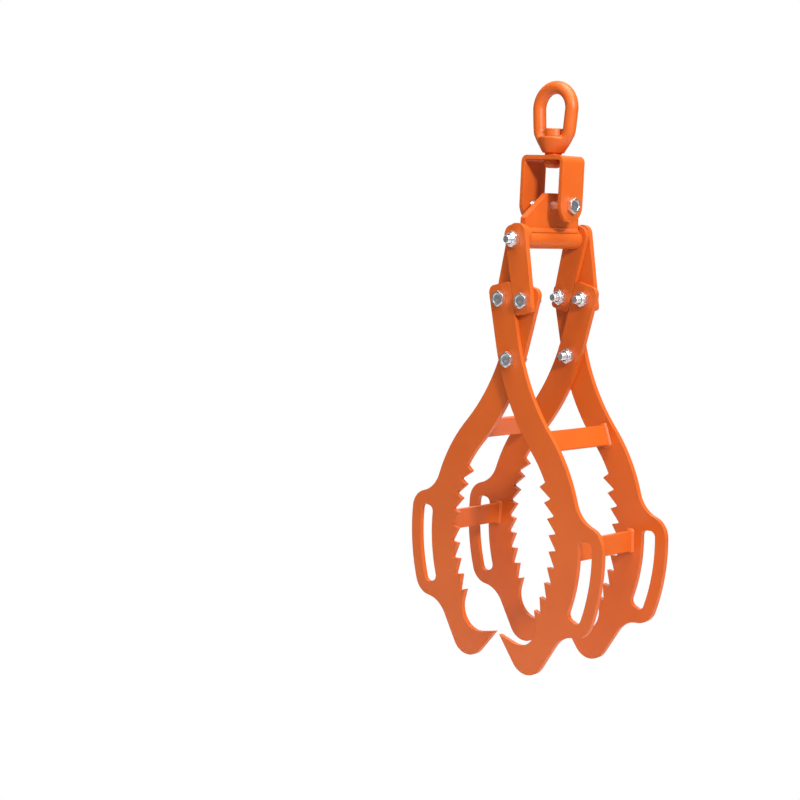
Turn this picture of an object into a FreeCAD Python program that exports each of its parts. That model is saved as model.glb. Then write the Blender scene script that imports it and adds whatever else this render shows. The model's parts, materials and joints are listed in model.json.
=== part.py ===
import FreeCAD, Part
import math
import os

import Sketcher
from FreeCAD import Placement, Rotation, Vector

# Four-claw log grapple, hung by its swivel eye. Lengths are millimetres, +Z is up.
# The origin is the point inside the eye where a shackle or hook bears.
# X runs across the jaw, Y runs along the log, and the front is -Y.

SIZES = [
    ("bar_diameter", 16.0, "round bar of the eye"),
    ("arch_radius", 25.4, "centreline radius of the eye's arch"),
    ("waist_half", 22.8, "bar centreline to the middle, at the shoulder"),
    ("shoulder_drop", 47.6, "bearing point down to the bend at the shoulder"),
    ("shoulder_angle", 52.0, "slope of the shoulder below level, degrees"),
    ("shoulder_bend", 10.0, "centreline radius of the bend at the shoulder"),
    ("shoulder_end", 11.0, "bar end to the middle, inside the boss"),
    ("seat_drop", 50.0, "bearing point down to the pin head's seat"),
    ("boss_height", 20.0, "height of the eye's boss"),
    ("boss_radius", 17.5, "largest radius of the boss"),
    ("boss_foot_radius", 12.8, "radius of the boss at its foot"),
    ("pin_diameter", 16.0, "shank of the swivel pin"),
    ("pin_head_diameter", 24.0, "forged head of the swivel pin"),
    ("pin_head_height", 9.0, "height of that head"),
    ("rivet_diameter", 21.5, "riveted end of the swivel pin"),
    ("rivet_height", 10.0, "height of the riveted end"),
    ("washer_diameter", 20.5, "thrust washer under the boss"),
    ("washer_thickness", 2.8, "thickness of the thrust washer"),
    ("running_gap", 0.2, "gap between faces that turn on each other"),
    ("pin_fit", 0.08, "radial clearance of every pin and bolt in its hole"),
    ("strap_thickness", 5.0, "flat strap of the clevis bracket"),
    ("strap_width", 40.0, "width of the strap, along Y"),
    ("bracket_width", 66.0, "bracket across its outer faces"),
    ("bracket_drop", 59.0, "bracket top down to the clevis bolt"),
    ("bend_radius", 3.0, "inside radius of the strap's bends"),
    ("hanger_thickness", 8.0, "hanger plate"),
    ("hanger_drop", 42.0, "clevis bolt down to the top pivot"),
    ("hanger_peak", 14.0, "clevis bolt up to the plate's flat top"),
    ("hanger_peak_width", 22.0, "flat top of the plate"),
    ("hanger_shoulder", 15.0, "upright sides of the plate"),
    ("hanger_inset", 1.0, "plate end back from the tube end"),
    ("tube_diameter", 22.0, "cross tube that carries the links"),
    ("tube_length", 99.4, "length of the cross tube"),
    ("weld_leg", 4.0, "leg of a fillet weld"),
    ("plate_thickness", 6.0, "plate of the links and claws"),
    ("plate_gap", 0.3, "gap between plates that turn on each other"),
    ("bolt_diameter", 10.0, "shank of every bolt"),
    ("bolt_flats", 17.0, "bolt heads and nuts across flats"),
    ("head_height", 6.4, "height of a bolt head"),
    ("dish_diameter", 12.0, "shallow dish in a bolt head"),
    ("dish_depth", 0.6, "depth of the dish"),
    ("nut_hex_height", 7.0, "hexagonal part of a lock nut"),
    ("nut_collar_height", 3.0, "round collar of a lock nut"),
    ("nut_collar_diameter", 14.8, "outside of that collar"),
    ("insert_diameter", 12.8, "nylon ring in the collar"),
    ("insert_height", 2.2, "height of the nylon ring"),
    ("clevis_bolt_length", 80.0, "clevis bolt under its head"),
    ("top_bolt_length", 140.0, "top pivot bolt under its head"),
    ("plate_bolt_length", 30.0, "link and main pivot bolts under their heads"),
    ("link_length", 74.0, "between the holes of a link, and of a claw"),
    ("rest_angle", 14.0, "link from upright with the jaw closed, degrees"),
    ("link_clearance", 0.74, "gap between a link and the arm beside it, jaw closed"),
    ("link_back_top", 17.6, "link hole to its other edge, at the top"),
    ("link_back_foot", 13.4, "link hole to its other edge, at the foot"),
    ("link_top_end", 18.0, "top hole to the top edge"),
    ("link_foot_end", 16.0, "lower hole to the lower edge"),
    ("link_top_round", 12.0, "corner radius at the top"),
    ("link_foot_round", 5.0, "corner radius at the foot"),
    ("arc_reach", 27.3, "tooth arc's farthest point, behind the main pivot"),
    ("arc_centre_drop", 195.0, "main pivot down to the centre of the tooth arc"),
    ("tooth_radius", 159.3, "radius that the tooth tips lie on"),
    ("tooth_count", 9.0, "teeth on a claw"),
    ("tooth_pitch_angle", 7.0, "from tooth to tooth on the arc, degrees"),
    ("first_tooth_angle", 14.4, "top tooth above the level of the arc's centre, degrees"),
    ("tooth_height", 10.0, "tooth tips in front of the arm's edge"),
    ("gullet_depth", 11.2, "depth of the notch between teeth"),
    ("gullet_lag_angle", 0.55, "notch root short of the next tooth, degrees"),
    ("tooth_land_angle", 0.2, "flat at a tooth's tip, degrees"),
    ("gullet_round", 1.2, "radius at the root of a notch"),
    ("arm_width", 36.0, "width of the arm"),
    ("arm_offset", 1.0, "arm's middle outside the line of its holes"),
    ("arm_end", 18.0, "link hole to the arm's top edge"),
    ("arm_round_outer", 6.0, "corner radius of the arm beside the link"),
    ("arm_round_inner", 9.0, "corner radius of the arm's free corner"),
    ("bend_start", 20.0, "main pivot up to where the arm starts to bend"),
    ("slot_width", 20.6, "width of the handle slot"),
    ("slot_corner", 7.5, "corner radius of the slot"),
    ("slot_setback", 55.0, "tooth tips to the middle of the handle slot"),
    ("slot_start_angle", 22.5, "top tooth down to the slot's upper end, degrees"),
    ("slot_stop_angle", 7.0, "slot's lower end up from the last tooth, degrees"),
    ("handle_bar", 15.5, "width of the handle round the slot"),
    ("shoulder_blend", 38.0, "radius from the arm into the handle"),
    ("belly_blend", 38.0, "radius from the handle into the hook"),
    ("belly_angle", 79.4, "that blend below level, seen from the slot's end, degrees"),
    ("hook_throat", 14.0, "last tooth down to the hook's curve"),
    ("hook_radius", 28.0, "inside curve of the hook"),
    ("hook_turn_angle", 117.5, "turn of the inside curve, degrees"),
    ("hook_point", 24.0, "straight from the curve to the tip"),
    ("hook_depth", 36.0, "hook's thickness under its curve"),
    ("heel_radius", 26.4, "outside curve of the hook"),
    ("heel_shift", 6.4, "heel's centre behind the curve's centre"),
    ("crossbar_width", 25.0, "flat bar between a pair of claws"),
    ("crossbar_thickness", 6.0, "thickness of that bar"),
    ("crossbar_round", 1.0, "edge radius of that bar"),
    ("upper_bar_angle", -14.1, "upper bar from the top tooth, downwards, degrees"),
    ("upper_bar_setback", 30.7, "tooth tips to the middle of the upper bar"),
    ("upper_bar_tilt", 8.0, "upper bar from the line of the holes, degrees"),
    ("lower_bar_angle", 26.9, "lower bar from the top tooth, downwards, degrees"),
    ("lower_bar_setback", 28.1, "tooth tips to the middle of the lower bar"),
    ("lower_bar_tilt", -11.0, "lower bar from the line of the holes, degrees"),
    ("bead_leg", 3.0, "weld bead round a bar's end"),
]

FRONT = -1
BACK = 1
LEFT = -1
RIGHT = 1
X_AXIS = Vector(1, 0, 0)
Y_AXIS = Vector(0, 1, 0)
Z_AXIS = Vector(0, 0, 1)

doc = FreeCAD.newDocument("log_grapple")
sheet = doc.addObject("Spreadsheet::Sheet", "sizes")
for row, (alias, value, note) in enumerate(SIZES, start=1):
    sheet.set("A%d" % row, note)
    sheet.set("B%d" % row, str(value))
    sheet.setAlias("B%d" % row, alias)
doc.recompute()


def size(alias):
    return float(sheet.get(alias))


# Levels that follow from the sizes.
SEAT_Z = -size("seat_drop")
BOSS_FOOT_Z = SEAT_Z - size("boss_height")
BRACKET_TOP_Z = BOSS_FOOT_Z - size("running_gap") - size("washer_thickness")
CLEVIS_Z = BRACKET_TOP_Z - size("bracket_drop")
TOP_PIVOT_Z = CLEVIS_Z - size("hanger_drop")
REST_ANGLE = size("rest_angle")
LINK_RISE = size("link_length") * math.cos(math.radians(REST_ANGLE))
LINK_REACH = size("link_length") * math.sin(math.radians(REST_ANGLE))
LINK_Z = TOP_PIVOT_Z - LINK_RISE
MAIN_PIVOT_Z = LINK_Z - LINK_RISE
ARM_FACE = size("arm_width") / 2 + size("arm_offset")
LINK_FACING = 2 * LINK_REACH * math.cos(math.radians(REST_ANGLE)) - ARM_FACE - size("link_clearance")

# Plates: the inner layer turns beside the tube, the outer layer turns beside the inner one.
INNER_FACE_Y = size("tube_length") / 2 + size("plate_gap")
INNER_MID_Y = INNER_FACE_Y + size("plate_thickness") / 2
OUTER_MID_Y = INNER_MID_Y + size("plate_thickness") + size("plate_gap")
OUTER_FACE_Y = OUTER_MID_Y + size("plate_thickness") / 2
HOLE_RADIUS = size("bolt_diameter") / 2 + size("pin_fit")
PIN_HOLE_RADIUS = size("pin_diameter") / 2 + size("pin_fit")
PIN_HOLE = "sizes.pin_diameter / 2 + sizes.pin_fit"
BOLT_HOLE = "sizes.bolt_diameter / 2 + sizes.pin_fit"


# Sketch and feature helpers.

def new_body(label):
    body = doc.addObject("PartDesign::Body", label)
    body.Label = label
    return body


def new_sketch(body, name, plane, offset=Vector(0, 0, 0)):
    sketch = body.newObject("Sketcher::SketchObject", name)
    support = [f for f in body.Origin.OriginFeatures if f.Role == plane][0]
    sketch.AttachmentSupport = [(support, "")]
    sketch.MapMode = "FlatFace"
    sketch.AttachmentOffset = Placement(offset, Rotation())
    return sketch


def add_circle(sketch, centre, radius_expression):
    index = sketch.addGeometry(Part.Circle(centre, Z_AXIS, 1.0), False)
    rule = sketch.addConstraint(Sketcher.Constraint("Radius", index, 1.0))
    sketch.setExpression("Constraints[%d]" % rule, radius_expression)
    return index


def arc(centre, radius, start, stop):
    circle = Part.Circle(centre, Z_AXIS, radius)
    return Part.ArcOfCircle(circle, math.radians(start), math.radians(stop))


def line(start, stop):
    return Part.LineSegment(start, stop)


def polar(centre, radius, angle):
    turn = math.radians(angle)
    return centre + Vector(radius * math.cos(turn), radius * math.sin(turn), 0)


def heading(start, stop):
    return math.degrees(math.atan2(stop.y - start.y, stop.x - start.x))


def rounded_corner(before, corner, after, radius):
    """Both ends of the fillet at a corner, and its arc."""
    back = (before - corner).normalize()
    ahead = (after - corner).normalize()
    half = back.getAngle(ahead) / 2
    setback = radius / math.tan(half)
    start = corner + back * setback
    stop = corner + ahead * setback
    centre = corner + (back + ahead).normalize() * (radius / math.sin(half))
    middle = centre + (corner - centre).normalize() * radius
    return start, stop, Part.Arc(start, middle, stop)


def polygon(points):
    return [line(start, stop) for start, stop in zip(points, points[1:] + points[:1])]


def rounded_polygon(points, radii):
    """Closed outline through the points, with a fillet where the radius is not zero."""
    count = len(points)
    entries = []
    exits = []
    edges = []
    for i, point in enumerate(points):
        start = point
        stop = point
        if radii[i] > 0:
            start, stop, fillet = rounded_corner(points[i - 1], point, points[(i + 1) % count], radii[i])
            edges.append(fillet)
        entries.append(start)
        exits.append(stop)
    for i in range(count):
        edges.append(line(exits[i], entries[(i + 1) % count]))
    return edges


def pad(body, sketch, name, length_expression, side="Symmetric", reversed_side=False):
    feature = body.newObject("PartDesign::Pad", name)
    feature.Profile = sketch
    feature.SideType = side
    feature.Reversed = reversed_side
    feature.setExpression("Length", length_expression)
    body.Tip = feature
    doc.recompute()
    return feature


def cut_through(body, sketch, name):
    """Pocket the sketch all the way through, both ways, and confirm that it removed something."""
    before = body.Shape.Volume
    feature = body.newObject("PartDesign::Pocket", name)
    feature.Profile = sketch
    feature.SideType = "Symmetric"
    feature.Type = "ThroughAll"
    body.Tip = feature
    doc.recompute()
    if body.Shape.Volume >= before:
        raise ValueError("%s cut nothing" % name)
    return feature


def revolve(body, edges, name):
    sketch = new_sketch(body, name + "_profile", "XZ_Plane")
    sketch.addGeometry(edges, False)
    feature = body.newObject("PartDesign::Revolution", name)
    feature.Profile = sketch
    feature.ReferenceAxis = (sketch, ["V_Axis"])
    feature.Angle = 360
    body.Tip = feature
    doc.recompute()
    return feature


def cylinder(name, radius_expression, height_expression):
    shape = doc.addObject("Part::Cylinder", name)
    shape.setExpression("Radius", radius_expression)
    shape.setExpression("Height", height_expression)
    return shape


def cut(name, base, tool):
    result = doc.addObject("Part::Cut", name)
    result.Label = name
    result.Base = base
    result.Tool = tool
    return result


def group(name, members):
    result = doc.addObject("Part::Compound", name)
    result.Label = name
    result.Links = members
    return result


# Swivel: the eye turns on a riveted pin.

def make_swivel_eye():
    body = new_body("swivel_eye")
    bar = size("bar_diameter") / 2
    arch = size("arch_radius")
    arch_centre = Vector(0, bar - arch, 0)
    hip = polar(arch_centre, arch, 0)
    shoulder = Vector(size("waist_half"), -size("shoulder_drop"), 0)
    run = size("waist_half") - size("shoulder_end")
    fall = run * math.tan(math.radians(size("shoulder_angle")))
    end = Vector(size("shoulder_end"), shoulder.y - fall, 0)
    bend_start, bend_stop, bend = rounded_corner(hip, shoulder, end, size("shoulder_bend"))

    spine = new_sketch(body, "eye_centreline", "XZ_Plane")
    spine.addGeometry([arc(arch_centre, arch, 0, 90), line(hip, bend_start), bend, line(bend_stop, end)], False)
    section = new_sketch(body, "eye_section", "YZ_Plane")
    add_circle(section, Vector(0, bar, 0), "sizes.bar_diameter / 2")
    doc.recompute()
    half = body.newObject("PartDesign::AdditivePipe", "half_ring")
    half.Profile = section
    half.Spine = (spine, [])
    half.Transition = "Round corner"
    body.Tip = half
    doc.recompute()
    whole = body.newObject("PartDesign::Mirrored", "whole_ring")
    whole.Originals = [half]
    whole.MirrorPlane = (section, [""])
    body.Tip = whole
    doc.recompute()

    bore = PIN_HOLE_RADIUS
    wide = size("boss_radius")
    foot = size("boss_foot_radius")
    chamfer = wide / 6
    height = size("boss_height")
    profile = [
        Vector(bore, BOSS_FOOT_Z, 0),
        Vector(foot, BOSS_FOOT_Z, 0),
        Vector(foot + (wide - foot) / 2, BOSS_FOOT_Z + height / 10, 0),
        Vector(wide - chamfer / 3, BOSS_FOOT_Z + height * 0.3, 0),
        Vector(wide, SEAT_Z - chamfer, 0),
        Vector(wide - chamfer / 3, SEAT_Z - chamfer / 3, 0),
        Vector(wide - chamfer, SEAT_Z, 0),
        Vector(bore, SEAT_Z, 0),
    ]
    revolve(body, polygon(profile), "boss")

    spotface = new_sketch(body, "spotface_sketch", "XY_Plane", Vector(0, 0, SEAT_Z))
    add_circle(spotface, Vector(0, 0, 0), "sizes.pin_head_diameter / 2 + 3 * sizes.running_gap")
    face = body.newObject("PartDesign::Pocket", "spotface")
    face.Profile = spotface
    face.Reversed = True
    face.setExpression("Length", "sizes.pin_head_height + sizes.running_gap")
    body.Tip = face
    doc.recompute()
    bore_sketch = new_sketch(body, "pin_bore_sketch", "XY_Plane", Vector(0, 0, SEAT_Z))
    add_circle(bore_sketch, Vector(0, 0, 0), PIN_HOLE)
    bore_cut = body.newObject("PartDesign::Pocket", "pin_bore")
    bore_cut.Profile = bore_sketch
    bore_cut.setExpression("Length", "sizes.boss_height + sizes.bar_diameter")
    body.Tip = bore_cut
    doc.recompute()
    return body


def make_swivel_pin():
    body = new_body("swivel_pin")
    shank = size("pin_diameter") / 2
    head = size("pin_head_diameter") / 2
    rivet = size("rivet_diameter") / 2
    head_foot = SEAT_Z + size("running_gap")
    head_top = head_foot + size("pin_head_height")
    rivet_top = BRACKET_TOP_Z - size("strap_thickness")
    rivet_foot = rivet_top - size("rivet_height")
    draft = size("pin_head_height") / 12
    upset = size("rivet_height") / 8
    profile = [
        Vector(0, rivet_foot, 0),
        Vector(rivet - 4 * upset, rivet_foot, 0),
        Vector(rivet - 1.5 * upset, rivet_foot + upset, 0),
        Vector(rivet, rivet_foot + 3.5 * upset, 0),
        Vector(rivet, rivet_top, 0),
        Vector(shank, rivet_top, 0),
        Vector(shank, head_foot, 0),
        Vector(head, head_foot, 0),
        Vector(head - draft, head_top - draft, 0),
        Vector(head - 2 * draft, head_top, 0),
        Vector(0, head_top, 0),
    ]
    revolve(body, polygon(profile), "pin")
    return body


def make_swivel_washer():
    rim = cylinder("washer_rim", "sizes.washer_diameter / 2", "sizes.washer_thickness")
    bore = cylinder("washer_bore", PIN_HOLE, "sizes.washer_thickness")
    washer = cut("swivel_washer", rim, bore)
    washer.Placement.Base = Vector(0, 0, BRACKET_TOP_Z)
    return washer


# Clevis bracket: one strap bent to a U, with round ends on its legs.

def make_clevis_bracket():
    body = new_body("clevis_bracket")
    half = size("bracket_width") / 2
    thick = size("strap_thickness")
    inside = size("bend_radius")
    outside = inside + thick
    end_radius = size("strap_width") / 2
    leg_end = -size("bracket_drop") - end_radius
    corners = [
        Vector(-half, leg_end, 0),
        Vector(-half, 0, 0),
        Vector(half, 0, 0),
        Vector(half, leg_end, 0),
        Vector(half - thick, leg_end, 0),
        Vector(half - thick, -thick, 0),
        Vector(thick - half, -thick, 0),
        Vector(thick - half, leg_end, 0),
    ]
    strap = new_sketch(body, "strap_profile", "XZ_Plane")
    strap.addGeometry(rounded_polygon(corners, [0, outside, outside, 0, 0, inside, inside, 0]), False)
    pad(body, strap, "strap", "sizes.strap_width")

    axis = Vector(0, -size("bracket_drop"), 0)
    ends = new_sketch(body, "leg_end_trim", "YZ_Plane")
    trim = end_radius + thick
    for side in (-1, 1):
        level = axis + Vector(side * end_radius, 0, 0)
        outer = axis + Vector(side * trim, 0, 0)
        corner = axis + Vector(side * trim, -trim, 0)
        below = axis + Vector(0, -trim, 0)
        bottom = axis + Vector(0, -end_radius, 0)
        first = 180 if side < 0 else 270
        shape = [line(level, outer), line(outer, corner), line(corner, below), line(below, bottom)]
        ends.addGeometry(shape + [arc(axis, end_radius, first, first + 90)], False)
    cut_through(body, ends, "round_ends")
    holes = new_sketch(body, "bolt_hole_sketch", "YZ_Plane")
    add_circle(holes, axis, BOLT_HOLE)
    cut_through(body, holes, "bolt_holes")
    pin_hole = new_sketch(body, "pin_hole_sketch", "XY_Plane")
    add_circle(pin_hole, Vector(0, 0, 0), PIN_HOLE)
    cut_through(body, pin_hole, "pin_hole")
    body.Placement.Base = Vector(0, 0, BRACKET_TOP_Z)
    return body


# Bolts and lock nuts, along +Z from the face that they bear on.

def hex_prism(name, height_expression):
    prism = doc.addObject("Part::Prism", name)
    prism.Polygon = 6
    prism.setExpression("Circumradius", "sizes.bolt_flats / sqrt(3)")
    prism.setExpression("Height", height_expression)
    return prism


def chamfered_hex(name, height_expression):
    """Hexagon whose free end is turned to a cone, as on a bolt head."""
    prism = hex_prism(name + "_hexagon", height_expression)
    cone = doc.addObject("Part::Cone", name + "_cone")
    cone.setExpression("Height", height_expression)
    cone.setExpression("Radius2", "sizes.bolt_flats * 0.48")
    cone.setExpression("Radius1", "sizes.bolt_flats * 0.48 + 1.8 * (%s)" % height_expression)
    common = doc.addObject("Part::MultiCommon", name + "_chamfered")
    common.Shapes = [prism, cone]
    return common


def make_bolt(name, length):
    """The head rises from the bearing face along +Z and the shank goes down."""
    hexagon = chamfered_hex(name + "_head", "sizes.head_height")
    dish = cylinder(name + "_dish", "sizes.dish_diameter / 2", "sizes.dish_depth")
    dish.Placement.Base = Vector(0, 0, size("head_height") - size("dish_depth"))
    head = cut(name + "_dished_head", hexagon, dish)
    shank = cylinder(name + "_shank", "sizes.bolt_diameter / 2", "sizes." + length)
    shank.Placement.Base = Vector(0, 0, -size(length))
    tip = doc.addObject("Part::Chamfer", name + "_tip")
    tip.Base = shank
    doc.recompute()
    rims = []
    for number, edge in enumerate(shank.Shape.Edges, start=1):
        low = edge.BoundBox.ZMax < -size(length) / 2
        if low and edge.BoundBox.XLength > size("bolt_diameter") / 2:
            rims.append((number, 1.0, 1.0))
    tip.Edges = rims
    bolt = doc.addObject("Part::MultiFuse", name)
    bolt.Label = name
    bolt.Shapes = [head, tip]
    return bolt


def make_nut(name):
    """Lock nut that sits on the bearing face and rises along +Z."""
    hexagon = hex_prism(name + "_body", "sizes.nut_hex_height")
    height = size("nut_hex_height")
    collar = cylinder(name + "_collar", "sizes.nut_collar_diameter / 2", "sizes.nut_collar_height + 1")
    collar.Placement.Base = Vector(0, 0, height - 1)
    outside = doc.addObject("Part::MultiFuse", name + "_outside")
    outside.Shapes = [hexagon, collar]
    total = "sizes.nut_hex_height + sizes.nut_collar_height"
    bore = cylinder(name + "_bore", BOLT_HOLE, total)
    pocket = cylinder(name + "_pocket", "sizes.insert_diameter / 2 + sizes.pin_fit", "sizes.nut_collar_height")
    pocket.Placement.Base = Vector(0, 0, height)
    inside = doc.addObject("Part::MultiFuse", name + "_inside")
    inside.Shapes = [bore, pocket]
    return cut(name, outside, inside)


def make_insert(name):
    """Nylon ring in the collar of the lock nut."""
    rim = cylinder(name + "_rim", "sizes.insert_diameter / 2", "sizes.insert_height")
    bore = cylinder(name + "_bore", BOLT_HOLE, "sizes.insert_height")
    ring = cut(name + "_ring", rim, bore)
    ring.Placement.Base = Vector(0, 0, size("nut_hex_height"))
    return group(name, [ring])


def fasten(head, length, nut_face, direction, label):
    """A bolt with its head face at one point and its lock nut at another, on one line."""
    turn = Rotation(Z_AXIS, direction)
    back = Rotation(Z_AXIS, direction * -1)
    bolt = make_bolt(label + "_bolt", length)
    bolt.Placement = Placement(head, turn)
    nut = make_nut(label + "_nut")
    nut.Placement = Placement(nut_face, back)
    insert = make_insert(label + "_nut_insert")
    insert.Placement = Placement(nut_face, back)
    return bolt, nut, insert


def make_clevis_fasteners():
    half = size("bracket_width") / 2
    head = Vector(half + size("running_gap"), 0, CLEVIS_Z)
    nut = Vector(-half - size("running_gap"), 0, CLEVIS_Z)
    return fasten(head, "clevis_bolt_length", nut, X_AXIS, "clevis")


def make_top_pivot_fasteners():
    reach = OUTER_FACE_Y + size("running_gap")
    head = Vector(0, reach, TOP_PIVOT_Z)
    nut = Vector(0, -reach, TOP_PIVOT_Z)
    return fasten(head, "top_bolt_length", nut, Y_AXIS, "top_pivot")


def make_plate_fasteners(x, z, label):
    """Front and back bolts through both layers, heads outside and nuts inside."""
    gap = size("running_gap")
    bolts = []
    nuts = []
    inserts = []
    for side, word in ((FRONT, "front"), (BACK, "back")):
        head = Vector(x, side * (OUTER_FACE_Y + gap), z)
        nut_face = Vector(x, side * (INNER_FACE_Y - gap), z)
        outward = Vector(0, side, 0)
        bolt, nut, insert = fasten(head, "plate_bolt_length", nut_face, outward, label + "_" + word)
        bolts.append(bolt)
        nuts.append(nut)
        inserts.append(insert)
    return [
        group(label + "_bolts", bolts),
        group(label + "_nuts", nuts),
        group(label + "_nut_inserts", inserts),
    ]


# Hanger: a plate welded along a cross tube.

def make_hanger_plate():
    body = new_body("hanger_plate")
    half = size("tube_length") / 2 - size("hanger_inset")
    peak = size("hanger_peak_width") / 2
    foot = size("tube_diameter") / 2 - size("hanger_drop")
    shoulder = foot + size("hanger_shoulder")
    top = size("hanger_peak")
    outline = new_sketch(body, "hanger_outline", "YZ_Plane")
    outline.addGeometry(
        rounded_polygon(
            [
                Vector(-half, foot, 0),
                Vector(half, foot, 0),
                Vector(half, shoulder, 0),
                Vector(peak, top, 0),
                Vector(-peak, top, 0),
                Vector(-half, shoulder, 0),
            ],
            [0, 0, 1.5, 3, 3, 1.5],
        ),
        False,
    )
    pad(body, outline, "plate", "sizes.hanger_thickness")
    hole = new_sketch(body, "clevis_hole_sketch", "YZ_Plane")
    add_circle(hole, Vector(0, 0, 0), BOLT_HOLE)
    cut_through(body, hole, "clevis_hole")
    body.Placement.Base = Vector(0, 0, CLEVIS_Z)
    return body


def make_hanger_tube():
    outside = cylinder("tube_outside", "sizes.tube_diameter / 2", "sizes.tube_length")
    bore = cylinder("tube_bore", BOLT_HOLE, "sizes.tube_length")
    tube = cut("hanger_tube", outside, bore)
    start = Vector(0, size("tube_length") / 2, TOP_PIVOT_Z)
    tube.Placement = Placement(start, Rotation(X_AXIS, 90))
    return tube


def make_hanger_welds():
    """A fillet along each side of the plate, between its face and the round of the tube."""
    body = new_body("hanger_welds")
    touch = 0.03
    radius = size("tube_diameter") / 2 + touch
    face = size("hanger_thickness") / 2 + touch
    leg = size("weld_leg")
    centre = Vector(0, 0, 0)
    start = math.degrees(math.acos((face + leg) / radius))
    stop = math.degrees(math.acos(face / radius))
    outer = polar(centre, radius, start)
    root = polar(centre, radius, stop)
    top = root + Vector(0, leg, 0)
    bulge = (outer + top) * 0.5 + Vector(leg, leg, 0) * 0.06
    sketch = new_sketch(body, "fillet_section", "XZ_Plane")
    sketch.addGeometry([arc(centre, radius, start, stop), line(root, top), Part.Arc(top, bulge, outer)], False)
    side = pad(body, sketch, "fillet", "sizes.tube_length - 2 * sizes.hanger_inset")
    both = body.newObject("PartDesign::Mirrored", "both_fillets")
    both.Originals = [side]
    plane = [f for f in body.Origin.OriginFeatures if f.Role == "YZ_Plane"][0]
    both.MirrorPlane = (plane, [""])
    body.Tip = both
    doc.recompute()
    body.Placement.Base = Vector(0, 0, TOP_PIVOT_Z)
    return body


# Links: the lower hole is at the local origin and the top hole is above it.
# The straight edge faces the claw arm of the same layer.

def plate_placement(x, z, y, side, lean):
    """Stand a plate on its lower hole. A right-hand plate is the left-hand one turned round."""
    turn = Rotation(Y_AXIS, -side * lean)
    if side == RIGHT:
        turn = turn.multiply(Rotation(Z_AXIS, 180))
    return Placement(Vector(x, y, z), turn)


def make_link(label, end, side):
    body = new_body(label)
    length = size("link_length")
    top = length + size("link_top_end")
    foot = -size("link_foot_end")
    taper = (size("link_back_top") - size("link_back_foot")) / length
    back_top = -size("link_back_foot") - taper * top
    back_foot = -size("link_back_foot") - taper * foot
    outline = new_sketch(body, label + "_outline", "XZ_Plane")
    outline.addGeometry(
        rounded_polygon(
            [
                Vector(LINK_FACING, foot, 0),
                Vector(LINK_FACING, top, 0),
                Vector(back_top, top, 0),
                Vector(back_foot, foot, 0),
            ],
            [
                size("link_foot_round"),
                size("link_top_round"),
                size("link_top_round"),
                size("link_foot_round"),
            ],
        ),
        False,
    )
    pad(body, outline, label + "_plate", "sizes.plate_thickness")
    holes = new_sketch(body, label + "_hole_sketch", "XZ_Plane")
    add_circle(holes, Vector(0, 0, 0), BOLT_HOLE)
    add_circle(holes, Vector(0, length, 0), BOLT_HOLE)
    cut_through(body, holes, label + "_holes")
    layer = INNER_MID_Y if side == LEFT else OUTER_MID_Y
    body.Placement = plate_placement(side * LINK_REACH, LINK_Z, end * layer, side, REST_ANGLE)
    return body


# Claws: the main pivot is at the local origin, the link hole is above it, and +X is the jaw.
# Tooth tips, arm, handle slot and handle all follow circles about one centre.

ARC_CENTRE = Vector(size("tooth_radius") - size("arc_reach"), -size("arc_centre_drop"), 0)
ARM_INNER_RADIUS = size("tooth_radius") + size("tooth_height")
ARM_MID_RADIUS = ARM_INNER_RADIUS + size("arm_width") / 2
ARM_OUTER_RADIUS = ARM_INNER_RADIUS + size("arm_width")
FIRST_TOOTH = 180 - size("first_tooth_angle")
LAST_TOOTH = FIRST_TOOTH + size("tooth_pitch_angle") * (size("tooth_count") - 1)
SLOT_RADIUS = size("tooth_radius") + size("slot_setback")
SLOT_START = FIRST_TOOTH + size("slot_start_angle")
SLOT_STOP = LAST_TOOTH - size("slot_stop_angle")
HANDLE_TURN = math.degrees(size("slot_corner") / SLOT_RADIUS)
HANDLE_START = SLOT_START + HANDLE_TURN
HANDLE_STOP = SLOT_STOP - HANDLE_TURN
HANDLE_ROUND = size("slot_width") / 2 + size("handle_bar")
BELLY_HEADING = 360 - size("belly_angle")


def circles_meet(centre_a, radius_a, centre_b, radius_b):
    """The meeting point of two circles that lies to the left, going from a to b."""
    gap = centre_b - centre_a
    along = (gap.Length ** 2 + radius_a ** 2 - radius_b ** 2) / (2 * gap.Length)
    across = math.sqrt(radius_a ** 2 - along ** 2)
    ahead = gap * (1 / gap.Length)
    return centre_a + ahead * along + Vector(-ahead.y, ahead.x, 0) * across


def arm_bend():
    """Centre, radius and turn of the bend that leads the straight arm onto the tooth arc."""
    start = Vector(-size("arm_offset"), size("bend_start"), 0)
    across = ARC_CENTRE.x - start.x
    down = start.y - ARC_CENTRE.y
    radius = (across ** 2 + down ** 2 - ARM_MID_RADIUS ** 2) / (2 * (ARM_MID_RADIUS - across))
    centre = start - Vector(radius, 0, 0)
    return centre, radius, heading(centre, ARC_CENTRE)


def arm_edges():
    """Both edges of the arm, its top end, and the arc angles where the edges join the tooth arc."""
    centre, radius, turn = arm_bend()
    half = size("arm_width") / 2
    middle = -size("arm_offset")
    top = size("link_length") + size("arm_end")
    straight = centre.y
    outer_foot = Vector(middle - half, straight, 0)
    inner_foot = Vector(middle + half, straight, 0)
    outer_top = Vector(middle - half, top, 0)
    inner_top = Vector(middle + half, top, 0)
    a, b, outer_round = rounded_corner(outer_foot, outer_top, inner_top, size("arm_round_outer"))
    c, d, inner_round = rounded_corner(outer_top, inner_top, inner_foot, size("arm_round_inner"))
    edges = [
        arc(centre, radius - half, turn, 0),
        line(outer_foot, a),
        outer_round,
        line(b, c),
        inner_round,
        line(d, inner_foot),
        arc(centre, radius + half, turn, 0),
    ]
    return edges, turn + 180


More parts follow.
